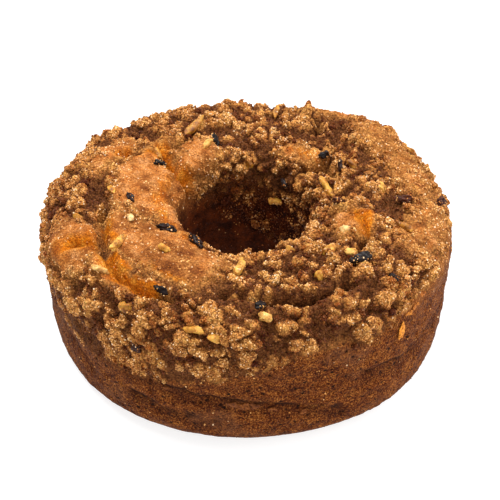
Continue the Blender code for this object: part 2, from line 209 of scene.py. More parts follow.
# Where the crust is thin and shows orange: degrees, distance, half-length, half-width, strength.
GLOWS = (
    (196, 72, 9, 3, 0.8),
    (210, 77, 9, 6, 1.0),
    (223, 81, 14, 6, 1.0),
    (236, 86, 12, 5, 1.0),
    (206, 85, 5, 8, 0.55),
    (203, 94, 14, 4, 0.35),
    (233, 76, 12, 3, 0.7),
    (246, 77, 10, 4, 0.8),
    (343, 50, 5, 12, 0.9),
    (328, 66, 11, 5, 0.9),
    (338, 60, 8, 7, 0.9),
    (228, 44, 20, 3, 0.5),
    (200, 41, 18, 3, 0.5),
    (170, 40, 22, 3, 0.5),
    (151, 66, 9, 4, 0.6),
    (137, 60, 12, 3, 0.6),
    (50, 49, 14, 4, 0.7),
    (60, 96, 22, 4, 0.7),
)

WALNUT_NODES = (
    "walnut_back_left",
    "walnut_left",
    "walnut_right_of_hole",
    "walnut_front_of_hole",
    "walnut_back",
    "walnut_front_left",
    "walnut_front_edge",
    "walnut_far_left",
)
RAISIN_NODES = (
    "raisin_right_front",
    "raisin_hole_left",
    "raisin_hole_front",
    "raisin_front_left",
    "raisin_hole_right",
    "raisin_right",
)
# How far each large piece is pinched at its middle and bent along its length, and its tone.
SHAPES = {
    "walnut_back_left": (0.1, 0.1, 0.15),
    "walnut_left": (0.0, 0.1, 0.7),
    "walnut_right_of_hole": (0.45, 0.25, 0.5),
    "walnut_front_of_hole": (0.1, 0.3, 0.75),
    "walnut_back": (0.1, 0.0, 0.6),
    "walnut_front_left": (0.3, -0.2, 0.9),
    "walnut_front_edge": (0.15, 0.1, 0.45),
    "walnut_far_left": (0.1, 0.2, 0.3),
    "raisin_right_front": (0.0, 0.4, 0.1),
    "raisin_hole_left": (0.3, 0.1, 0.5),
    "raisin_hole_front": (0.0, 0.2, 0.4),
    "raisin_front_left": (0.0, 0.0, 0.2),
    "raisin_hole_right": (0.2, -0.1, 0.9),
    "raisin_right": (0.0, 0.5, 1.0),
}
# The small pieces: degrees round, millimetres from the axis, height, length, width, turn.
SMALL_WALNUTS = (
    (202, 59, 78, 6.5, 4.0, 75),
    (177, 65, 78, 6.5, 3.5, 130),
    (191, 81, 78, 5.5, 3.5, 27),
    (115, 46, 77, 7.0, 4.0, 122),
    (232, 61, 78, 6.0, 4.0, 98),
    (29, 58, 78, 6.5, 4.5, 79),
    (4, 65, 78, 6.0, 5.0, 130),
    (31, 94, 71, 6.5, 4.0, 91),
    (324, 58, 78, 7.0, 5.0, 23),
    (309, 61, 78, 6.5, 4.5, 23),
    (294, 50, 77, 5.0, 4.5, 60),
    (315, 69, 78, 6.5, 4.5, 46),
    (340, 79, 78, 8.0, 4.0, 167),
    (235, 96, 69, 6.0, 5.0, 83),
    (261, 98, 64, 7.0, 5.5, 65),
    (296, 72, 78, 5.5, 5.0, 18),
    (275, 92, 73, 6.0, 5.0, 92),
    (66, 34, 52, 7.0, 4.5, 92),
    (90, 36, 71, 5.0, 4.5, 104),
)
SMALL_RAISINS = (
    (184, 56, 78, 5.0, 3.5, 118),
    (108, 52, 78, 6.5, 4.0, 19),
    (28, 52, 78, 5.5, 3.5, 39),
    (41, 52, 78, 5.0, 4.0, 172),
    (2, 95, 71, 5.0, 4.0, 63),
    (60, 34, 64, 5.5, 3.5, 90),
    (274, 85, 77, 6.0, 5.0, 137),
    (240, 99, 51, 4.5, 4.0, 90),
    (317, 92, 73, 4.5, 4.0, 166),
    (148, 50, 78, 6.0, 4.0, 30),
)
# Torn bits of crust on the side, each with its tone as well: the brightest is the most orange.
CRUST_FLAKES = (
    (315, 100, 49, 3.8, 8.5, 90, 1.0),
    (318, 99, 56, 5.0, 2.6, 90, 0.7),
    (321, 99, 58, 5.5, 2.4, 90, 0.6),
    (325, 99, 60, 5.0, 2.2, 90, 0.5),
    (266, 98, 26, 5.0, 3.6, 75, 0.12),
    (269, 98, 25, 6.0, 4.2, 60, 0.2),
    (272, 98, 25, 4.5, 3.0, 95, 0.1),
    (277, 98, 23, 3.5, 2.4, 110, 0.15),
    (286, 97, 19, 3.5, 2.4, 75, 0.2),
    (248, 98, 31, 3.0, 1.6, 80, 0.15),
    (331, 99, 30, 3.0, 1.8, 20, 0.4),
)
# How far a small piece's middle stands out of the crust, as a share of its width.
PROUD_SHARE = 0.12
# How each kind of piece is made: length, width and depth over its CAD solid's, thickness over width,
# knife cuts, knots as a share of its size, lumps and folds with their sizes, and how thickly grains
# cling to it.
WALNUT_LOOK = {
    "grow": (1.15, 0.95, 1.1), "depth": 0.85, "cuts": 6, "knots": 0.3, "lumps": 0.45 * MM,
    "lump_size": 2.6 * MM, "folds": 0.3 * MM, "fold_size": 1.7 * MM, "grains": 0.12,
}
RAISIN_LOOK = {
    "grow": (1.15, 1.1, 1.1), "depth": 0.6, "cuts": 2, "knots": 0.35, "lumps": 0.3 * MM,
    "lump_size": 3 * MM, "folds": 1.3 * MM, "fold_size": 1.5 * MM, "grains": 0.15,
}
FLAKE_LOOK = {
    "grow": (1, 1, 1), "depth": 0.35, "cuts": 4, "knots": 0.7, "lumps": 0.4 * MM,
    "lump_size": 2 * MM, "folds": 0.5 * MM, "fold_size": 1.3 * MM, "grains": 0.05,
}

# The camera: where it stands, the point that it aims at and its lens on a 36 mm sensor.
CAMERA_PLACE = (0, -0.80902, 0.61279)
CAMERA_AIM = (0.00173, 0.0096, 0.0382)
CAMERA_LENS = 145.4


def linear(code):
    """The linear colour of an sRGB hex code such as "#a0b0c0"."""
    shares = [int(code[index : index + 2], 16) / 255 for index in (1, 3, 5)]
    return [s / 12.92 if s <= 0.04045 else ((s + 0.055) / 1.055) ** 2.4 for s in shares] + [1]


def add_node(tree, kind, values=None, links=None, **settings):
    """Adds a node with these settings, socket values and links from other nodes' outputs."""
    made = tree.nodes.new(kind)
    for name, setting in settings.items():
        setattr(made, name, setting)
    for name, value in (values or {}).items():
        made.inputs[name].default_value = value
    for name, source in (links or {}).items():
        tree.links.new(source, made.inputs[name])
    return made


def ramp(tree, factor, stops, smooth=False):
    """A colour ramp over this factor, from (position, hex code) stops."""
    made = add_node(tree, "ShaderNodeValToRGB", links={"Fac": factor})
    band = made.color_ramp
    band.interpolation = "EASE" if smooth else "LINEAR"
    while len(band.elements) < len(stops):
        band.elements.new(0.5)
    for element, (position, code) in zip(band.elements, stops):
        element.position = position
        element.color = linear(code)
    return made.outputs["Color"]


def mix(tree, factor, low, high, blend="MIX"):
    """Mixes two colours, each a socket or a hex code, by a factor that is a socket or a number."""
    made = add_node(tree, "ShaderNodeMix", data_type="RGBA", blend_type=blend)
    for index, value in ((0, factor), (6, low), (7, high)):
        if isinstance(value, str):
            made.inputs[index].default_value = linear(value)
        elif isinstance(value, (int, float)):
            made.inputs[index].default_value = value
        else:
            tree.links.new(value, made.inputs[index])
    return made.outputs[2]


def attribute(tree, name):
    return add_node(tree, "ShaderNodeAttribute", attribute_name=name).outputs["Fac"]


def new_material(name):
    """A material with an empty Principled shader, as (material, tree, shader, object coordinates)."""
    made = bpy.data.materials.new(name)
    made.use_nodes = True
    tree = made.node_tree
    place = add_node(tree, "ShaderNodeTexCoord").outputs["Object"]
    return made, tree, tree.nodes["Principled BSDF"], place


def pattern(tree, place, size, detail=2, roughness=0.5, stretch=(1, 1, 1)):
    """Cloudy noise whose features are about this many metres across."""
    mapped = add_node(tree, "ShaderNodeMapping", {"Scale": stretch}, {"Vector": place})
    values = {"Scale": 1 / size, "Detail": detail, "Roughness": roughness}
    return add_node(tree, "ShaderNodeTexNoise", values, {"Vector": mapped.outputs[0]}).outputs["Fac"]


def cells(tree, place, size, stretch=(1, 1, 1)):
    """Distance to the nearest point of a scatter with this spacing, and each point's own colour."""
    mapped = add_node(tree, "ShaderNodeMapping", {"Scale": stretch}, {"Vector": place})
    return add_node(tree, "ShaderNodeTexVoronoi", {"Scale": 1 / size}, {"Vector": mapped.outputs[0]})


def remap(tree, value, low, high, new_low=0.0, new_high=1.0):
    values = {1: low, 2: high, 3: new_low, 4: new_high}
    return add_node(tree, "ShaderNodeMapRange", values, {0: value}).outputs[0]


def bump(tree, height, distance, strength=1.0, over=None):
    """Relief in the shading, this many metres deep, laid over another relief if there is one."""
    links = {"Height": height}
    if over is not None:
        links["Normal"] = over
    values = {"Distance": distance, "Strength": strength}
    return add_node(tree, "ShaderNodeBump", values, links).outputs[0]


def fused_grains(tree, place, size):
    """A skin of fused grains: its colour, of each grain's own tone with painted shade between the grains, and
    its height.
    """
    grains = cells(tree, place, size)
    tone = add_node(tree, "ShaderNodeSeparateColor", links={0: grains.outputs["Color"]}).outputs[0]
    own = ramp(tree, tone, ((0.0, "#bca898"), (0.5, "#ece2d8"), (0.9, "#ffffff")))
    # Painted shade: darker away from each grain's middle, where the grains meet.
    gap_shade = ramp(tree, grains.outputs["Distance"], ((0.34, "#ffffff"), (0.8, "#704c36")))
    height = remap(tree, grains.outputs["Distance"], 0.1, 0.8, 1, 0)
    return mix(tree, 1.0, own, gap_shade, "MULTIPLY"), height


def baked_crust():
    """Baked cake crust: golden to dark brown sponge skin, grainy above and pored at the side, matt."""
    made, tree, shader, place = new_material("baked_sponge_crust")
    cloud = pattern(tree, place, 0.006, 4, 0.65)
    fine = pattern(tree, place, 0.0008, 3, 0.75)
    golden = ramp(tree, cloud, ((0.32, "#c07030"), (0.5, "#dc9048"), (0.68, "#f0ae70")))
    toffee = ramp(tree, cloud, ((0.32, "#6a3414"), (0.5, "#a0602a"), (0.68, "#c88846")))
    bare = mix(tree, attribute(tree, "baked"), golden, toffee)
    streaks = pattern(tree, place, 0.008, 4, 0.6, (1, 1, 1.5))
    side = ramp(tree, streaks, ((0.3, "#7c4018"), (0.46, "#a05c24"), (0.58, "#bc7430"), (0.74, "#d89444")))
    # Sponge shows as pale crumb between dark pores, some of them wide; the dark of the pores and pits is
    # painted shade.
    side = mix(tree, remap(tree, fine, 0.54, 0.7, 0, 0.45), side, "#dca458")
    side = mix(tree, remap(tree, attribute(tree, "torn"), 0, 1, 0, 0.6), side, "#7a4620")
    sponge = ramp(tree, fine, ((0.38, "#5a3e30"), (0.48, "#a08474"), (0.58, "#e0d2c8"), (0.68, "#ffffff")))
    side = mix(tree, 1.0, side, sponge, "MULTIPLY")
    side = mix(tree, remap(tree, attribute(tree, "dusk"), 0, 1, 0, 0.7), side, "#8a5a3a")
    pores = cells(tree, place, 0.002, (1, 1, 1.6)).outputs["Distance"]
    side = mix(tree, remap(tree, pores, 0.14, 0.32, 0.85, 0), side, "#281004")
    pits = cells(tree, place, 0.0055, (1, 1, 1.4)).outputs["Distance"]
    side = mix(tree, remap(tree, pits, 0.1, 0.22, 0.95, 0), side, "#1a0802")
    # Painted shade: the creases are painted near black.
    side = mix(tree, attribute(tree, "crease"), side, "#281006")
    mottle = ramp(tree, fine, ((0.34, "#947c6c"), (0.5, "#dcd2c8"), (0.6, "#ffffff")))
    orange = ramp(tree, cloud, ((0.34, "#c06408"), (0.5, "#f08c10"), (0.66, "#ffb43c")))
    top = mix(tree, remap(tree, attribute(tree, "glow"), 0.05, 0.7, 0, 0.9), bare, orange)
    top = mix(tree, 0.85, top, mottle, "MULTIPLY")
    skin = mix(tree, attribute(tree, "upper"), side, top)
    # Painted shade: the crumb floor is darker where it lies low, in crevices and recesses, and paler on the
    # heaps.
    stops = ((0.0, "#784a26"), (0.12, "#b47a3e"), (0.4, "#dc9e52"), (1.0, "#eab868"))
    crumb = ramp(tree, attribute(tree, "high"), stops)
    skin = mix(tree, attribute(tree, "cover"), skin, crumb)
    # Painted shade in the narrow core of each split.
    skin = mix(tree, remap(tree, attribute(tree, "crack"), 0, 1, 0, 0.85), skin, "#4a2008")
    # Painted shade: the lower hole wall is painted near black brown.
    hole = ramp(tree, cloud, ((0.35, "#340f00"), (0.65, "#6a2c06")))
    skin = mix(tree, attribute(tree, "hole"), skin, hole)
    shade, grain_height = fused_grains(tree, place, 0.001)
    skin = mix(tree, remap(tree, attribute(tree, "cover"), 0, 1, 0.45, 0.85), skin, shade, "MULTIPLY")
    tree.links.new(skin, shader.inputs["Base Color"])
    shader.inputs["Roughness"].default_value = 0.75
    shader.inputs["Specular IOR Level"].default_value = 0.08
    relief_low = bump(tree, fine, 0.0007, 0.8)
    pitted = bump(tree, remap(tree, pits, 0.1, 0.3), 0.0006, 0.7, relief_low)
    tree.links.new(bump(tree, grain_height, 0.0005, 0.6, pitted), shader.inputs["Normal"])
    return made


def hollow_shade_and_melt_patches(tree, place):
    """Painted shade where the crumbs lie low, in the hollows, and darker melted sugar in patches of some
    millimetres.
    """
    # Painted shade: darker where the heaps are low.
    low = ramp(tree, attribute(tree, "high"), ((0.0, "#805e4a"), (0.08, "#d4bca0"), (0.2, "#ffffff")))
    cloud = ramp(tree, pattern(tree, place, 0.012, 3), ((0.36, "#ccac88"), (0.54, "#ffffff")))
    return mix(tree, 1.0, low, cloud, "MULTIPLY")


def fused_crumb():
    """Brown sugar crumb: grains fused by butter into lumps, tan and matt, with painted shade between the
    grains.
    """
    made, tree, shader, place = new_material("fused_sugar_crumb")
    stops = ((0.0, "#d08e46"), (0.5, "#f2b064"), (1.0, "#ffca80"))
    colour = ramp(tree, attribute(tree, "tone"), stops)
    colour = mix(tree, 1.0, colour, hollow_shade_and_melt_patches(tree, place), "MULTIPLY")
    shade, grain_height = fused_grains(tree, place, 0.0009)
    tree.links.new(mix(tree, 0.9, colour, shade, "MULTIPLY"), shader.inputs["Base Color"])
    shader.inputs["Roughness"].default_value = 0.7
    shader.inputs["Specular IOR Level"].default_value = 0.1
    tree.links.new(bump(tree, grain_height, 0.0009, 1.0), shader.inputs["Normal"])
    return made


def sugar_grain():
    """Brown sugar grains: tan crystals, each of its own tone, a few pale enough to be painted glints."""
    made, tree, shader, place = new_material("brown_sugar_grain")
    # The palest tones are partly the grains' own colour and partly painted glints.
    stops = ((0.0, "#985c24"), (0.3, "#d49048"), (0.7, "#f4b66a"), (0.9, "#fcd094"), (1.0, "#ffeacc"))
    colour = ramp(tree, attribute(tree, "tone"), stops)
    colour = mix(tree, 1.0, colour, hollow_shade_and_melt_patches(tree, place), "MULTIPLY")
    tree.links.new(colour, shader.inputs["Base Color"])
    shader.inputs["Roughness"].default_value = 0.4
    shader.inputs["Specular IOR Level"].default_value = 0.2
    return made


def torn_flake():
    """Torn crust flake: thin, orange and a little glossy where the inside of the crust shows."""
    made, tree, shader, place = new_material("torn_crust_flake")
    fine = pattern(tree, place, 0.0013, 3, 0.7)
    stops = ((0.0, "#6a3818"), (0.5, "#b46a28"), (1.0, "#f09a34"))
    skin = ramp(tree, attribute(tree, "tone"), stops)
    worn = ramp(tree, fine, ((0.34, "#90746a"), (0.6, "#ffffff")))
    skin = mix(tree, 1.0, skin, worn, "MULTIPLY")
    tree.links.new(skin, shader.inputs["Base Color"])
    shader.inputs["Roughness"].default_value = 0.6
    shader.inputs["Specular IOR Level"].default_value = 0.15
    tree.links.new(bump(tree, fine, 0.0006, 0.7), shader.inputs["Normal"])
    return made


def walnut_meat():
    """Chopped walnut: tan to cream meat, darker where the skin is left on, with a faint oily shine."""
    made, tree, shader, place = new_material("chopped_walnut")
    cloud = pattern(tree, place, 0.004, 3, 0.6)
    fine = pattern(tree, place, 0.0011, 3, 0.7)
    stops = ((0.0, "#b07c2c"), (0.35, "#cc9438"), (0.6, "#e4b04c"), (0.85, "#ecc068"), (1.0, "#f2d49c"))
    meat = ramp(tree, attribute(tree, "tone"), stops)
    skin = ramp(tree, cloud, ((0.34, "#7c4c20"), (0.48, "#dcc098"), (0.6, "#ffffff")))
    meat = mix(tree, 0.85, meat, skin, "MULTIPLY")
    mottle = ramp(tree, fine, ((0.3, "#b09878"), (0.6, "#ffffff")))
    tree.links.new(mix(tree, 0.6, meat, mottle, "MULTIPLY"), shader.inputs["Base Color"])
    shader.inputs["Roughness"].default_value = 0.45
    shader.inputs["Specular IOR Level"].default_value = 0.25
    shader.inputs["Subsurface Weight"].default_value = 0.15
    shader.inputs["Subsurface Scale"].default_value = 0.002
    tree.links.new(bump(tree, fine, 0.0004, 0.6), shader.inputs["Normal"])
    return made


def raisin_skin():
    """Baked raisin: near black to red brown, wrinkled, with a shine where the sugar has boiled out."""
    made, tree, shader, place = new_material("baked_raisin")
    cloud = pattern(tree, place, 0.003, 3, 0.6)
    red = ramp(tree, attribute(tree, "tone"), ((0.0, "#1a0e0a"), (0.6, "#2e150e"), (1.0, "#5e2c14")))
    worn = ramp(tree, cloud, ((0.35, "#808080"), (0.7, "#ffffff")))
    tree.links.new(mix(tree, 1.0, red, worn, "MULTIPLY"), shader.inputs["Base Color"])
    shader.inputs["Roughness"].default_value = 0.4
    shader.inputs["Specular IOR Level"].default_value = 0.2
    tree.links.new(bump(tree, cloud, 0.0008, 0.7), shader.inputs["Normal"])
    return made


def deselect():
    for shown in bpy.context.selected_objects:
        shown.select_set(False)


def choose(made):
    """Makes this the only selected object, and the active one."""
    deselect()
    made.select_set(True)
    bpy.context.view_layer.objects.active = made


def apply_modifiers(made):
    choose(made)
    for step in list(made.modifiers):
        bpy.ops.object.modifier_apply(modifier=step.name)


def set_attribute(mesh, name, values):
    """Stores one number for each vertex."""
    layer = mesh.attributes.get(name) or mesh.attributes.new(name, "FLOAT", "POINT")
    layer.data.foreach_set("value", np.asarray(values, dtype=np.float32))


def vertices(mesh):
    flat = np.empty(len(mesh.vertices) * 3, dtype=np.float32)
    mesh.vertices.foreach_get("co", flat)
    return flat.reshape(-1, 3).astype(float)


def normals(mesh):
    flat = np.empty(len(mesh.vertices) * 3, dtype=np.float32)
    mesh.vertices.foreach_get("normal", flat)
    return flat.reshape(-1, 3).astype(float)


def smoothstep(low, high, value):
    """Rises smoothly from 0 at low to 1 at high."""
    share = np.clip((value - low) / (high - low), 0, 1)
    return share * share * (3 - 2 * share)


def around(degrees, radius, height):
    """The point at this angle from +X, distance from the axis and height."""
    angle = math.radians(degrees)
    return Vector((radius * math.cos(angle), radius * math.sin(angle), height))


def arc(centre, radii, start, end, steps):
    """Points on an elliptical arc from start to end degrees, without its first point."""
    points = []
    for step in range(1, steps + 1):
        angle = math.radians(start + (end - start) * step / steps)
        points.append((centre[0] + radii[0] * math.cos(angle), centre[1] + radii[1] * math.sin(angle)))
    return points


def line(start, end, steps):
    """Evenly spaced points from start to end, without the first one."""
    shares = [step / steps for step in range(1, steps + 1)]
    return [tuple(a + (b - a) * share for a, b in zip(start, end)) for share in shares]


def ring_section(steps):
    """The closed section as (radius, height): crown, shoulder, side, base, hole and inner rim."""
    inner = (HOLE_RADIUS + INNER_RIM_WIDTH, CROWN_HEIGHT)
    outer = (OUTER_RADIUS - SHOULDER_WIDTH, CROWN_HEIGHT)
    half = (outer[0] - inner[0]) / 2
    points = []
    for radius, height in [inner] + line(inner, outer, steps["crown"]):
        off_centre = (radius - inner[0] - half) / half
        points.append((radius, height + CROWN_RISE * (1 - off_centre**2)))
    shoulder_drop = CROWN_HEIGHT - WIDEST_HEIGHT
    points += arc((outer[0], WIDEST_HEIGHT), (SHOULDER_WIDTH, shoulder_drop), 90, 0, steps["shoulder"])
    points += line(points[-1], (SIDE_FOOT_RADIUS, SIDE_FOOT_HEIGHT), steps["side"])
    corner = (SIDE_FOOT_RADIUS - BASE_RADIUS, SIDE_FOOT_HEIGHT)
    points += arc((BASE_RADIUS, SIDE_FOOT_HEIGHT), corner, 0, -90, steps["corner"])
    foot = HOLE_FOOT_RADIUS + HOLE_FOOT_ROUNDING
    points += line(points[-1], (foot, 0), steps["base"])
    rounding = (HOLE_FOOT_ROUNDING, HOLE_FOOT_ROUNDING)
    points += arc((foot, HOLE_FOOT_ROUNDING), rounding, -90, -180, steps["foot"])
    rim_height = CROWN_HEIGHT - INNER_RIM_DROP
    points += line(points[-1], (HOLE_RADIUS, rim_height), steps["wall"])
    rim = arc((inner[0], rim_height), (INNER_RIM_WIDTH, INNER_RIM_DROP), 180, 90, steps["rim"])
    return points + rim[:-1]


def clouds(points, size):
    """Smooth noise from about -1 to 1 at each point, with features of this size."""
    return np.array([noise.noise(point) for point in (points / size).tolist()])


def drift(points, size):
    """A noise vector at each point."""
    return np.array([noise.noise_vector(point) for point in (points / size).tolist()])


def nearest_cells(points, size):
    """Distances, in cells, from each point to the two nearest cell centres."""
    return np.array([noise.voronoi(point)[0][:2] for point in (points / size).tolist()])


def flat(points):
    """The same points at the height of the base."""
    return points * (1, 1, 0)


def route_distance(plan, routes):
    """Distance from each point of a plane to the nearest of the routes drawn in it."""
    nearest = np.ones(len(plan))
    for corners in routes:
        for start, end in zip(corners, corners[1:]):
            along = end - start
            share = np.clip((plan - start) @ along / (along @ along), 0, 1)
            gap = plan - start - share[:, None] * along
            nearest = np.minimum(nearest, np.hypot(gap[:, 0], gap[:, 1]))
    return nearest


def fissure_distance(points):
    """Distance in plan from each point to the nearest split, on a route that wanders a little."""
    plan = (points + drift(points, 9 * MM) * 1.6 * MM)[:, :2]
    routes = [
        [np.array(around(turn, radius * MM, 0).to_2d()) for turn, radius in route] for route in FISSURES
    ]
    return route_distance(plan, routes)


def crease_distance(points):
    """Distance over the unrolled side from each point to the nearest crease."""
    moved = points + drift(points, 9 * MM) * 1.6 * MM
    turns = np.arctan2(moved[:, 1], moved[:, 0]) % math.tau
    unrolled = np.column_stack((turns * OUTER_RADIUS, moved[:, 2]))
    routes = [
        [np.array((math.radians(turn) * OUTER_RADIUS, up * MM)) for turn, up in route] for route in CREASES
    ]
    return route_distance(unrolled, routes)


def patch_shares(points, patches):
    """How far each point lies inside each patch, from 0 outside to 1 in its middle."""
    shares = []
    wander = 3.5 * MM * drift(flat(points), 14 * MM) + 1.5 * MM * drift(flat(points), 5 * MM)
    for degrees, distance, half_round, half_across, *_ in patches:
        middle = around(degrees, distance * MM, 0)
        outward = middle.normalized()
        off = flat(points) + wander - np.array(middle)
        across = (off @ np.array(outward)) / (half_across * MM)
        round_ring = (off[:, 0] * outward.y - off[:, 1] * outward.x) / (half_round * MM)
        shares.append(1 - smoothstep(0.55, 1.25, np.hypot(across, round_ring)))
    return np.array(shares)


def crumb_cover(points):
    """How thickly crumbs lie at each point, from 0 on bare crust to 1 on the topping."""
    degrees = np.degrees(np.arctan2(points[:, 1], points[:, 0])) % 360
    outside = np.hypot(points[:, 0], points[:, 1]) > (HOLE_RADIUS + OUTER_RADIUS) / 2
    outer_edge = np.interp(degrees, *zip(*SPILL_EDGE))
    inner_edge = np.interp(degrees, *zip(*HOLE_SPILL_EDGE))
    edge = np.where(outside, outer_edge, inner_edge) * MM
    edge += 4 * MM * clouds(flat(points), 12 * MM)
    on_top = smoothstep(edge - 3 * MM, edge + 5 * MM, points[:, 2])
    bareness = np.array([patch[5] for patch in BARE_PATCHES])
    return on_top * (1 - (patch_shares(points, BARE_PATCHES) * bareness[:, None]).max(axis=0))


def mound(points):
    """The heaps and hollows that are placed one by one, in metres."""
    rise = np.zeros(len(points))
    for degrees, distance, height, reach, peak in MOUNDS:
        centre = np.array(around(degrees, distance * MM, height * MM))
        off = np.linalg.norm(points - centre, axis=1) / (reach * MM)
        rise += peak * MM * np.exp(-(off**2))
    return rise


def large_relief(points):
    """The CAD model's relief at each point, and the masks that the finish reads."""
    over_base = smoothstep(0, 10 * MM, points[:, 2])
    upper = smoothstep(55 * MM, 70 * MM, points[:, 2])
    cover = crumb_cover(points)
    clump_cells = nearest_cells(points, CLUMP_LENGTH)
    clump = clump_cells[:, 1] - clump_cells[:, 0] - 0.35 + 0.4 * clouds(points, 9 * MM)
    nugget = 1 - smoothstep(0.1, 0.75, nearest_cells(points, NUGGET_LENGTH)[:, 0])
    height = SWELL * clouds(points, SWELL_LENGTH) + mound(points)
    thick = cover * (0.35 + 0.65 * smoothstep(38 * MM, 68 * MM, points[:, 2]))
    height += (CLUMP_HEIGHT * clump + NUGGET_HEIGHT * nugget) * thick
    swells = np.array([patch[4] * MM for patch in BARE_PATCHES])
    height += swells @ patch_shares(points, BARE_PATCHES) * upper
    split = fissure_distance(points) / FISSURE_WIDTH
    depth = FISSURE_DEPTH * (0.85 + 0.9 * clouds(points, 14 * MM))
    height -= depth * np.exp(-(split**2)) * upper
    height += FISSURE_LIP * np.exp(-((split - 2.2) ** 2)) * upper
    outside = (np.hypot(points[:, 0], points[:, 1]) > BASE_RADIUS) * (1 - upper)
    crease = crease_distance(points) / CREASE_WIDTH
    below = crease_distance(points + np.array((0, 0, TORN_DROP))) / TORN_DROP
    height -= CREASE_DEPTH * np.exp(-(crease**2)) * outside
    strengths = np.array([patch[4] for patch in GLOWS])
    glow = (patch_shares(points, GLOWS) * strengths[:, None]).max(axis=0) * upper
    glow *= np.clip(0.8 + 1.1 * clouds(points + 0.5, 4 * MM), 0, 1)
    swept = 1 - patch_shares(points, SWEPT_PATCHES).max(axis=0)
    cover, thick = cover * swept, thick * swept
    masks = {
        "cover": cover,
        "thick": thick,
        "split": np.exp(-((split / 1.1) ** 2)) * upper,
        "glow": np.maximum(glow * (1 - 0.5 * cover), np.exp(-((split / 1.7) ** 2)) * upper * (1 - cover)),
        "crack": np.exp(-((split / 0.32) ** 2)) * upper,
        "crease": np.exp(-((crease / 0.55) ** 2)) * outside * smoothstep(-0.35, 0, clouds(points, 8 * MM)),
        "torn": np.exp(-(below**2)) * outside,
        "clump": clump,
        "nugget": nugget,
    }
    return height * over_base, masks


def fine_relief(points, masks):
    """Crumb heaps parted by crevices where crumbs lie, a grainy skin on the top and a pitted side."""
    over_base = smoothstep(0, 6 * MM, points[:, 2])
    warped = points + 2.5 * MM * drift(points, 7 * MM)
    heaps = nearest_cells(warped, HEAP_LENGTH)
    crevice = np.exp(-(((heaps[:, 1] - heaps[:, 0]) / 0.17) ** 2))
    recess = smoothstep(0.1, 0.36, clouds(points + 0.3, 13 * MM))
    lump = 1 - smoothstep(0.05, 0.8, nearest_cells(warped, LUMP_LENGTH)[:, 0])
    grit = clouds(points, GRIT_LENGTH)
    crumbs = -CREVICE_DEPTH * crevice - RECESS_DEPTH * recess + LUMP_HEIGHT * (lump - 0.3) + 0.4 * MM * grit
    top_skin = 0.9 * MM * clouds(points, 9 * MM) + 0.6 * MM * clouds(points, 4 * MM)
    top_skin += 0.3 * MM * clouds(points, 2.2 * MM) + 0.12 * MM * grit
    wrinkles = 0.6 * MM * clouds(points * (1, 1, 2), 10 * MM) + 0.4 * MM * clouds(points, 3 * MM)
    pits = -PIT_DEPTH * (1 - smoothstep(0.1, 0.3, nearest_cells(warped, PIT_LENGTH)[:, 0]))
    upper = smoothstep(50 * MM, 70 * MM, points[:, 2])
    skin = upper * top_skin + (1 - upper) * (wrinkles + pits + 0.25 * MM * grit)
    height = masks["thick"] * crumbs + (1 - masks["cover"]) * skin
    # The splits have a narrow core, and each crease undercuts the layer that has torn off below it.
    height -= CRACK_DEPTH * masks["crack"] * (0.6 + clouds(points, 5 * MM))
    height += masks["torn"] * (0.5 * MM * clouds(points + 0.2, 2.4 * MM) - TORN_DEPTH)
    return height * over_base, lump, crevice, recess


def dusk_share(points):
    """Where the side turns a flat purple brown: a band under the crumbs at the left, and some patches."""
    degrees = np.degrees(np.arctan2(points[:, 1], points[:, 0])) % 360
    left = np.exp(-(((degrees - 215) / 34) ** 2))
    band = left * np.exp(-(((points[:, 2] - 44 * MM) / (11 * MM)) ** 2))
    patches = smoothstep(0.1, 0.45, clouds(points * (1, 1, 2) + 0.7, 26 * MM))
    mottle = np.clip(0.75 + 0.9 * clouds(points * (1, 1, 1.6), 3.5 * MM), 0, 1)
    return np.clip(1.3 * band + 0.6 * patches, 0, 1) * mottle


def baked_share(points):
    """How darkly the bare top is baked: more at the front left, less left of the hole, in patches."""
    front = np.exp(-((np.linalg.norm(flat(points) - around(232, 64, 0) * MM, axis=1) / (30 * MM)) ** 2))
    left = np.exp(-((np.linalg.norm(flat(points) - around(165, 55, 0) * MM, axis=1) / (26 * MM)) ** 2))
    patches = 1.1 * clouds(points + 0.4, 11 * MM) + 0.8 * clouds(points, 4 * MM)
    return np.clip(0.5 + 0.45 * front - 0.3 * left + patches, 0, 1)


def clear_of_pieces(points):
    """From 0 at the large nuts and raisins to 1 away from them, so that no crumb buries them."""
    clear = np.ones(len(points))
    for name in WALNUT_NODES + RAISIN_NODES:
        shape = vertices(frame["nodes"][name].data)
        middle = shape.mean(axis=0)
        _, _, axes = np.linalg.svd(shape - middle, full_matrices=False)
        reach = np.abs((shape - middle) @ axes.T).max(axis=0) + 1 * MM
        clear *= smoothstep(0.8, 1.3, np.linalg.norm((points - middle) @ axes.T / reach, axis=1))
    return clear


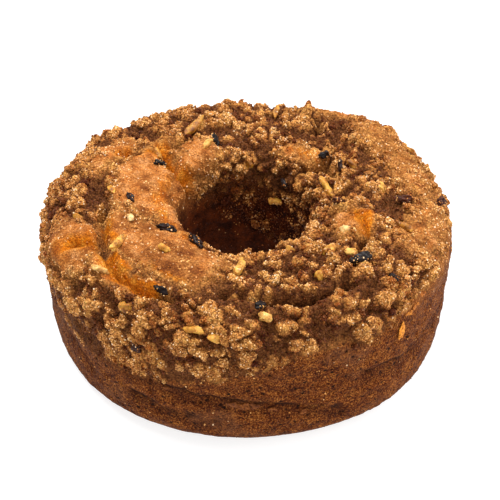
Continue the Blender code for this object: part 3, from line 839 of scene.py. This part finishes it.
def fine_ring(finish):
    """The whole cake without its loose pieces, turned from its section and roughened."""
    section = ring_section(SECTION_STEPS)
    mesh = bpy.data.meshes.new("cake_body")
    corners = [(radius, 0, height) for radius, height in section]
    sides = [(index, (index + 1) % len(section)) for index in range(len(section))]
    mesh.from_pydata(corners, sides, [])
    ring = bpy.data.objects.new("cake_body", mesh)
    bpy.context.scene.collection.objects.link(ring)
    turn = ring.modifiers.new("turn", "SCREW")
    turn.steps = SEGMENTS
    turn.render_steps = SEGMENTS
    turn.use_merge_vertices = True
    turn.merge_threshold = 0.02 * MM
    apply_modifiers(ring)
    mesh = ring.data
    points = vertices(mesh)
    outward = normals(mesh)
    large, masks = large_relief(points)
    small, lump, crevice, recess = fine_relief(points, masks)
    moved = points + outward * (large + small)[:, None]
    mesh.vertices.foreach_set("co", moved.ravel())
    mesh.update()
    # How high each point lies among the crumb heaps; the finishes paint shade where this is low.
    high = masks["clump"] * 0.7 + masks["nugget"] * 0.4 + lump * 0.4 + 0.15 - 0.6 * crevice - 0.4 * recess
    inner = np.hypot(points[:, 0], points[:, 1]) < HOLE_RADIUS + INNER_RIM_WIDTH
    # The topping ends in a ragged edge.
    set_attribute(mesh, "cover", smoothstep(0.3, 0.65, masks["cover"] + 0.3 * clouds(points + 0.6, 2.5 * MM)))
    set_attribute(mesh, "glow", masks["glow"])
    upper = smoothstep(50 * MM, 70 * MM, moved[:, 2])
    # The lower part of the hole, where the finish paints shade.
    hole = inner * (1 - smoothstep(46 * MM, 71 * MM, points[:, 2]))
    # Bare crust counts as fairly high, so that the grains on it get no painted hollow shade.
    high = np.clip(np.maximum(high, 0.4 * (1 - masks["cover"]) * upper), 0, 1)
    # Lower in the hole, the crumbs and grains get more painted shade.
    set_attribute(mesh, "high", high * (1 - 0.7 * hole))
    set_attribute(mesh, "upper", upper)
    set_attribute(mesh, "hole", hole)
    set_attribute(mesh, "torn", masks["torn"])
    set_attribute(mesh, "dusk", dusk_share(points) * (1 - inner))
    set_attribute(mesh, "baked", baked_share(points))
    # Painted shade for the narrow core of the splits, less where the crust shows orange.
    set_attribute(mesh, "crack", masks["crack"] * (1 - 0.5 * masks["glow"]))
    # Painted shade for the creases.
    set_attribute(mesh, "crease", masks["crease"])
    loose = masks["cover"] * (1 - masks["split"]) ** 2 * clear_of_pieces(moved)
    loose *= 1 - 0.8 * np.clip(masks["glow"], 0, 1)
    set_attribute(mesh, "crumbs", loose * (1 - 0.85 * recess) * (1 - 0.75 * crevice))
    bare = (0.012 + 0.15 * upper + 0.03 * hole) * (1 - 0.9 * masks["split"]) * (1 - 0.85 * masks["glow"])
    bare *= smoothstep(1 * MM, 4 * MM, points[:, 2])
    set_attribute(mesh, "grains", np.maximum(loose * (1 - 0.6 * recess) * (1 - 0.6 * crevice), bare))
    mesh.materials.append(finish)
    choose(ring)
    bpy.ops.object.shade_smooth()
    return ring


def lump_shape(name, subdivisions, roughness, seed, home):
    """A rough lump of radius 1 that stands for one kind of crumb or grain."""
    deselect()
    bpy.ops.mesh.primitive_ico_sphere_add(subdivisions=subdivisions, radius=1)
    made = bpy.context.object
    made.name = name
    points = vertices(made.data)
    shift = np.array([seed * 7.3, seed * 3.1, seed * 5.7])
    reach = 1 + roughness * clouds(points + shift, 0.9) + 0.5 * roughness * clouds(points + shift, 0.4)
    squash = np.array([1.0, 0.75 + 0.2 * math.sin(seed), 0.7 + 0.15 * math.cos(seed * 2)])
    made.data.vertices.foreach_set("co", (points * reach[:, None] * squash).ravel())
    bpy.context.scene.collection.objects.unlink(made)
    home.objects.link(made)
    return made


def crystal_shape(name, seed, home):
    """A sugar crystal of radius 1: an octahedron that is knocked out of true."""
    deselect()
    bpy.ops.mesh.primitive_uv_sphere_add(segments=4, ring_count=2, radius=1)
    made = bpy.context.object
    made.name = name
    points = vertices(made.data)
    knock = drift(points + seed * 4.1 + 0.3, 0.8) * 0.45
    made.data.vertices.foreach_set("co", ((points + knock) * (1, 0.85, 0.8)).ravel())
    bpy.context.scene.collection.objects.unlink(made)
    home.objects.link(made)
    return made


def scatter(name, grounds, shapes, finish, density, sizes, seed, mask, spacing=0.0):
    """Scatters copies of the shapes over the grounds, as thickly as their mask says, as one mesh."""
    tree = bpy.data.node_groups.new(name, "GeometryNodeTree")
    tree.interface.new_socket("Geometry", in_out="OUTPUT", socket_type="NodeSocketGeometry")
    joined = add_node(tree, "GeometryNodeJoinGeometry")
    for ground in grounds:
        info = add_node(tree, "GeometryNodeObjectInfo", {"Object": ground})
        tree.links.new(info.outputs["Geometry"], joined.inputs[0])
    allow = add_node(tree, "GeometryNodeInputNamedAttribute", {"Name": mask}, data_type="FLOAT")
    share = allow.outputs["Attribute"]
    if spacing:
        method = "POISSON"
        values = {"Seed": seed, "Distance Min": spacing, "Density Max": density}
        links = {"Mesh": joined.outputs[0], "Density Factor": share}
    else:
        method = "RANDOM"
        amount = add_node(tree, "ShaderNodeMath", {1: density}, {0: share}, operation="MULTIPLY")
        values = {"Seed": seed}
        links = {"Mesh": joined.outputs[0], "Density": amount.outputs[0]}
    spots = add_node(tree, "GeometryNodeDistributePointsOnFaces", values, links, distribute_method=method)
    kinds = add_node(
        tree, "GeometryNodeCollectionInfo",
        {"Collection": shapes, "Separate Children": True, "Reset Children": True},
    )
    full_turn = {1: (6.28, 6.28, 6.28), 8: seed + 1}
    turn = add_node(tree, "FunctionNodeRandomValue", full_turn, data_type="FLOAT_VECTOR")
    draw = add_node(tree, "FunctionNodeRandomValue", {8: seed + 2}, data_type="FLOAT")
    grow = add_node(
        tree, "ShaderNodeMath", {0: sizes[1] / sizes[0]}, {1: draw.outputs[1]}, operation="POWER"
    )
    size = add_node(tree, "ShaderNodeMath", {1: sizes[0]}, {0: grow.outputs[0]}, operation="MULTIPLY")
    copies = add_node(
        tree, "GeometryNodeInstanceOnPoints", {"Pick Instance": True},
        {
            "Points": spots.outputs["Points"],
            "Instance": kinds.outputs[0],
            "Rotation": turn.outputs[0],
            "Scale": size.outputs[0],
        },
    )
    tone = add_node(tree, "FunctionNodeRandomValue", {8: seed + 3}, data_type="FLOAT")
    toned = add_node(
        tree, "GeometryNodeStoreNamedAttribute", {"Name": "tone"},
        {"Geometry": copies.outputs[0], "Value": tone.outputs[1]},
        data_type="FLOAT", domain="INSTANCE",
    )
    real = add_node(tree, "GeometryNodeRealizeInstances", links={0: toned.outputs[0]})
    painted = add_node(tree, "GeometryNodeSetMaterial", {"Material": finish}, {0: real.outputs[0]})
    add_node(tree, "NodeGroupOutput", links={0: painted.outputs[0]})
    made = bpy.data.objects.new(name, bpy.data.meshes.new(name))
    bpy.context.scene.collection.objects.link(made)
    step = made.modifiers.new("scatter", "NODES")
    step.node_group = tree
    apply_modifiers(made)
    bpy.data.node_groups.remove(tree)
    print(name, len(made.data.polygons), "faces")
    return made


def seat(surface, point, turn):
    """A frame on the surface nearest a point: its Z outwards and its X at this turn from outwards."""
    place, normal, _, _ = surface.find_nearest(point)
    outward = Vector((point.x, point.y, 0)).normalized()
    heading = Matrix.Rotation(math.radians(turn), 3, "Z") @ outward
    across = normal.cross(heading).normalized()
    axes = Matrix((across.cross(normal), across, normal)).transposed()
    return Matrix.Translation(place) @ axes.to_4x4()


def node_seat(name, surface):
    """A frame at the middle of a CAD node: its X along the node's length and its Z out of the cake."""
    points = vertices(frame["nodes"][name].data)
    centre = points.mean(axis=0)
    _, normal, _, _ = surface.find_nearest(Vector(centre))
    off = points - centre
    _, _, axes = np.linalg.svd(off, full_matrices=False)
    along = axes[0]
    across = np.cross(np.array(normal), along)
    across /= np.linalg.norm(across)
    outward = np.cross(along, across)
    turn = Matrix((along, across, outward)).transposed().to_4x4()
    spread = [np.ptp(off @ axis) for axis in (along, across, outward)]
    return Matrix.Translation(Vector(centre)) @ turn, spread


def chopped_shape(name, size, waist, bend, look, seed):
    """A chopped piece about its own centre: a blunt oblong, pinched, bent, cut and wrinkled."""
    deselect()
    bpy.ops.mesh.primitive_ico_sphere_add(subdivisions=4, radius=1)
    made = bpy.context.object
    made.name = name
    points = vertices(made.data)
    shape = np.sign(points) * np.abs(points) ** 0.85
    pinch = 1 - waist * np.exp(-((shape[:, 0] / 0.35) ** 2))
    shape[:, 1] *= pinch
    shape[:, 1] += bend * (shape[:, 0] ** 2 - 0.3)
    shift = np.array([seed * 2.7, seed * 1.3, seed * 3.9])
    shape *= (1 + look["knots"] * clouds(shape + shift, 0.9))[:, None]
    draw = np.random.default_rng(seed)
    for _ in range(look["cuts"]):
        knife = draw.normal(size=3) * (1, 1, 0.8)
        knife /= np.linalg.norm(knife)
        over = shape @ knife - draw.uniform(0.6, 0.85)
        shape -= np.outer(np.maximum(over, 0), knife) * 0.8
    shape *= np.array(size) / 2
    made.data.vertices.foreach_set("co", shape.ravel())
    made.data.update()
    lengthways = shape * (0.5, 1, 1) + shift
    folds = np.abs(clouds(lengthways, look["fold_size"])) ** 0.7 - 0.4
    rise = look["lumps"] * clouds(lengthways, look["lump_size"]) + look["folds"] * folds
    made.data.vertices.foreach_set("co", (shape + normals(made.data) * rise[:, None]).ravel())
    made.data.update()
    return made


def chopped_pieces(name, nodes, specs, surface, look, finish, seed):
    """Every piece of one kind as one mesh: those that stand for CAD nodes, then the small ones."""
    parts = []
    for index, node in enumerate(nodes):
        place, spread = node_seat(node, surface)
        waist, bend, tone = SHAPES[node]
        size = np.array(spread) * look["grow"]
        part = chopped_shape(node + "_fine", size, waist, bend, look, seed + index)
        part.data.transform(place)
        set_attribute(part.data, "tone", np.full(len(part.data.vertices), tone))
        parts.append(part)
    for index, (degrees, distance, height, length, width, turn, *tones) in enumerate(specs):
        tone = tones[0] if tones else None
        place = seat(surface, around(degrees, distance * MM, height * MM), turn)
        size = np.array((length, width, min(length, width) * look["depth"])) * look["grow"] * MM
        number = seed + 20 + index
        bend = 0.3 * math.sin(number * 1.7)
        part = chopped_shape(f"small_{number}", size, 0.2, bend, look, number)
        part.data.transform(place @ Matrix.Translation((0, 0, PROUD_SHARE * width * MM)))
        set_attribute(part.data, "tone", np.full(len(part.data.vertices), tone or number * 0.618 % 1))
        parts.append(part)
    deselect()
    for part in parts:
        part.select_set(True)
    bpy.context.view_layer.objects.active = parts[0]
    bpy.ops.object.join()
    made = bpy.context.object
    made.name = name
    made.data.materials.append(finish)
    bpy.ops.object.shade_smooth()
    set_attribute(made.data, "grains", np.full(len(made.data.vertices), look["grains"]))
    set_attribute(made.data, "high", np.ones(len(made.data.vertices)))
    return made


def studio():
    """A pale floor, soft light from above and a little behind, and the camera."""
    deselect()
    bpy.ops.mesh.primitive_plane_add(size=6, location=(0, 0, -0.3 * MM))
    floor = bpy.context.object
    floor.name = "floor"
    paper, tree, shader, _ = new_material("matt_white_paper")
    shader.inputs["Base Color"].default_value = linear("#989898")
    shader.inputs["Roughness"].default_value = 0.9
    shader.inputs["Emission Color"].default_value = linear("#ffffff")
    shader.inputs["Emission Strength"].default_value = 0.8
    floor.data.materials.append(paper)

    lights = (
        ("key", (-0.3, 0.3, 1.3), 1.0, 28),
        ("fill", (0.4, -1.4, 0.9), 1.2, 8),
        ("rim", (1.2, 0.1, 0.7), 0.8, 12),
    )
    for name, place, size, power in lights:
        lamp = bpy.data.lights.new(name, "AREA")
        lamp.size = size
        lamp.energy = power
        made = bpy.data.objects.new(name, lamp)
        made.location = place
        made.rotation_euler = (Vector((0, 0, 0.05)) - Vector(place)).to_track_quat("-Z", "Y").to_euler()
        bpy.context.scene.collection.objects.link(made)

    world = bpy.data.worlds.new("studio")
    world.use_nodes = True
    backdrop = world.node_tree.nodes["Background"]
    backdrop.inputs["Color"].default_value = linear("#ffffff")
    backdrop.inputs["Strength"].default_value = 0.5
    bpy.context.scene.world = world

    camera = bpy.data.cameras.new("camera")
    camera.lens = CAMERA_LENS
    camera.sensor_width = 36
    made = bpy.data.objects.new("camera", camera)
    made.location = CAMERA_PLACE
    bpy.context.scene.view_settings.view_transform = "Standard"
    made.rotation_euler = (Vector(CAMERA_AIM) - Vector(CAMERA_PLACE)).to_track_quat("-Z", "Y").to_euler()
    bpy.context.scene.collection.objects.link(made)
    bpy.context.scene.camera = made


def crumb_topping(body, pieces):
    """Lumps and grains of crumb over the body, and the few grains that cling to the other pieces."""
    crumb_finish = fused_crumb()
    big = bpy.data.collections.new("big_lumps")
    small = bpy.data.collections.new("small_lumps")
    crystals = bpy.data.collections.new("crystals")
    for seed in range(SHAPES_PER_KIND):
        lump_shape(f"big_lump_{seed}", 2, 0.35, seed, big)
        lump_shape(f"small_lump_{seed}", 1, 0.3, seed + 9, small)
        crystal_shape(f"crystal_{seed}", seed, crystals)
    nuggets = scatter("crumb_nuggets", [body], big, crumb_finish, mask="crumbs", **NUGGETS)
    bits = scatter("crumb_bits", [body], small, crumb_finish, mask="crumbs", **BITS)
    topping = [nuggets, bits]
    for made, thickness in zip(topping, (0.9, 0.25)):
        facing_up = smoothstep(-0.4, 0.2, normals(made.data)[:, 2])
        set_attribute(made.data, "grains", thickness * facing_up)
    finish = sugar_grain()
    grounds = [body] + topping + pieces
    for number, seed in enumerate(GRAIN_SEEDS, 1):
        name = f"sugar_grains_{number}"
        topping.append(scatter(name, grounds, crystals, finish, seed=seed, mask="grains", **GRAINS))
    for kinds in (big, small, crystals):
        for kind in list(kinds.objects):
            bpy.data.objects.remove(kind)
        bpy.data.collections.remove(kinds)
    return topping


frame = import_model()
noise.seed_set(NOISE_SEED)
deselect()
studio()
body = fine_ring(baked_crust())
surface = BVHTree.FromObject(body, bpy.context.evaluated_depsgraph_get())
walnuts = chopped_pieces(
    "walnut_pieces", WALNUT_NODES, SMALL_WALNUTS, surface, WALNUT_LOOK, walnut_meat(), 1
)
raisins = chopped_pieces("raisins", RAISIN_NODES, SMALL_RAISINS, surface, RAISIN_LOOK, raisin_skin(), 60)
flakes = chopped_pieces("crust_flakes", (), CRUST_FLAKES, surface, FLAKE_LOOK, torn_flake(), 90)

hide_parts("cake")
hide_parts(*WALNUT_NODES)
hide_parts(*RAISIN_NODES)
for piece in [body, flakes] + crumb_topping(body, [walnuts, raisins]):
    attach(piece, "root")
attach(walnuts, "root")
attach(raisins, "root")
